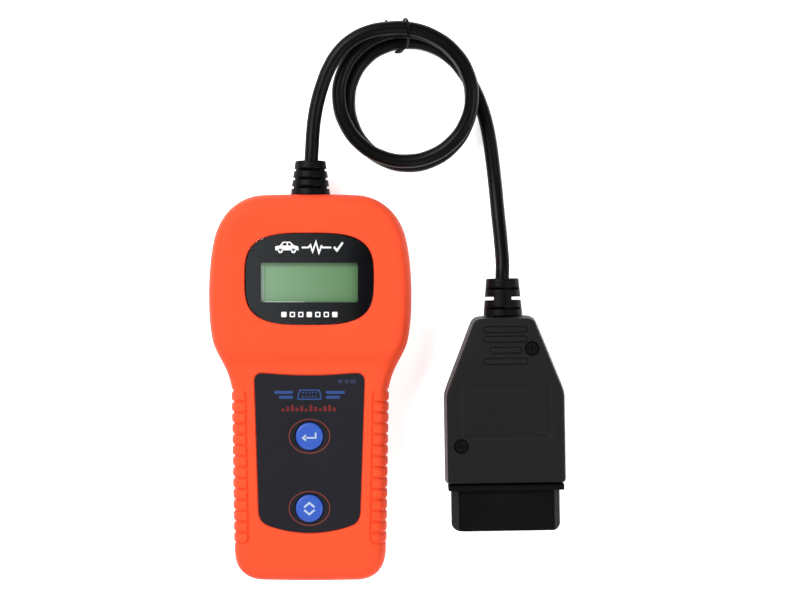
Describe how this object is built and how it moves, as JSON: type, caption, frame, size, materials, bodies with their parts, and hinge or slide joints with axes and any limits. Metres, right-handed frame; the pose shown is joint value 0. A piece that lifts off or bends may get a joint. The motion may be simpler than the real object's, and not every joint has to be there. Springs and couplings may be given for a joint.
{
  "type": "obd code reader",
  "caption": "Handheld diagnostic code reader: display and keys in a ribbed two-shell handset, with a tied, coiled lead to a wide 16-way D-shaped vehicle plug.",
  "frame": {"origin": "bottom centre of the handset's case, which lies on its back; the lead, its coil and the plug lie beside it and don't count", "axes": "+Z out of the display, +Y along the handset towards its cable end, +X to the handset's right, towards the plug"},
  "size_m": [0.132, 0.208, 0.025],
  "materials": {
    "case": "fine satin, orange",
    "lens": "polished clear window in a smoked black plate",
    "mask_print": "printed black",
    "overlay": "satin film with printed marks",
    "key": "satin blue",
    "switch": "moulded black",
    "bezel": "black-plated pressed sheet",
    "lcd": "green display glass",
    "diffuser": "milky diffuser",
    "board": "green solder mask",
    "chip": "moulded epoxy",
    "can": "drawn can",
    "header": "moulded nylon",
    "wire": "insulated wires in several colours",
    "screw": "zinc plated",
    "dark_screw": "blackened",
    "cord": "satin jacket",
    "boot": "moulded, matt",
    "tie": "coated wire",
    "plug_shell": "fine spark-eroded texture",
    "plug_insert": "moulded, smooth",
    "contact": "plated"
  },
  "bodies": {
    "handset": {"front_cover": "case", "rear_cover": "case", "display_lens": "lens", "display_mask": "mask_print", "keypad_overlay": "overlay", "enter_switch": "switch", "scroll_switch": "switch", "lcd_bezel": "bezel", "lcd_glass": "lcd", "lcd_backlight": "diffuser", "lcd_board": "board", "lcd_header": "switch", "main_board": "board", "main_chip": "chip", "driver_chips": "chip", "crystal": "can", "regulator": "chip", "filter_capacitor": "can", "wire_header": "header", "handset_wires": "wire", "case_screws": "screw", "board_screws": "screw", "handset_boot": "boot", "lead_upper": "cord", "lead_coil": "cord", "lead_lower": "cord", "twist_tie": "tie", "plug_boot": "boot", "plug_top_shell": "plug_shell", "plug_bottom_shell": "plug_shell", "plug_housing": "plug_insert", "pin_retainer": "plug_insert", "contact_pins": "contact", "plug_wires": "wire", "plug_screws": "dark_screw"},
    "enter_key": {"enter_button": "key"},
    "scroll_key": {"scroll_button": "key"},
    "enter_contact": {"enter_plunger": "switch"},
    "scroll_contact": {"scroll_plunger": "switch"}
  },
  "joints": [
    {"name": "enter_press", "type": "slide", "parent": "handset", "child": "enter_key", "axis": [0, 0, -1], "range_m": [0, 0.0008], "stiffness_N_per_m": 800, "springref_m": -0.0008},
    {"name": "scroll_press", "type": "slide", "parent": "handset", "child": "scroll_key", "axis": [0, 0, -1], "range_m": [0, 0.0008], "stiffness_N_per_m": 800, "springref_m": -0.0008},
    {"name": "enter_contact_press", "type": "slide", "parent": "handset", "child": "enter_contact", "axis": [0, 0, -1], "range_m": [0, 0.0008]},
    {"name": "scroll_contact_press", "type": "slide", "parent": "handset", "child": "scroll_contact", "axis": [0, 0, -1], "range_m": [0, 0.0008]}
  ],
  "couplings": [
    {"joint": "enter_contact_press", "follows": "enter_press", "ratio": 1},
    {"joint": "scroll_contact_press", "follows": "scroll_press", "ratio": 1}
  ]
}
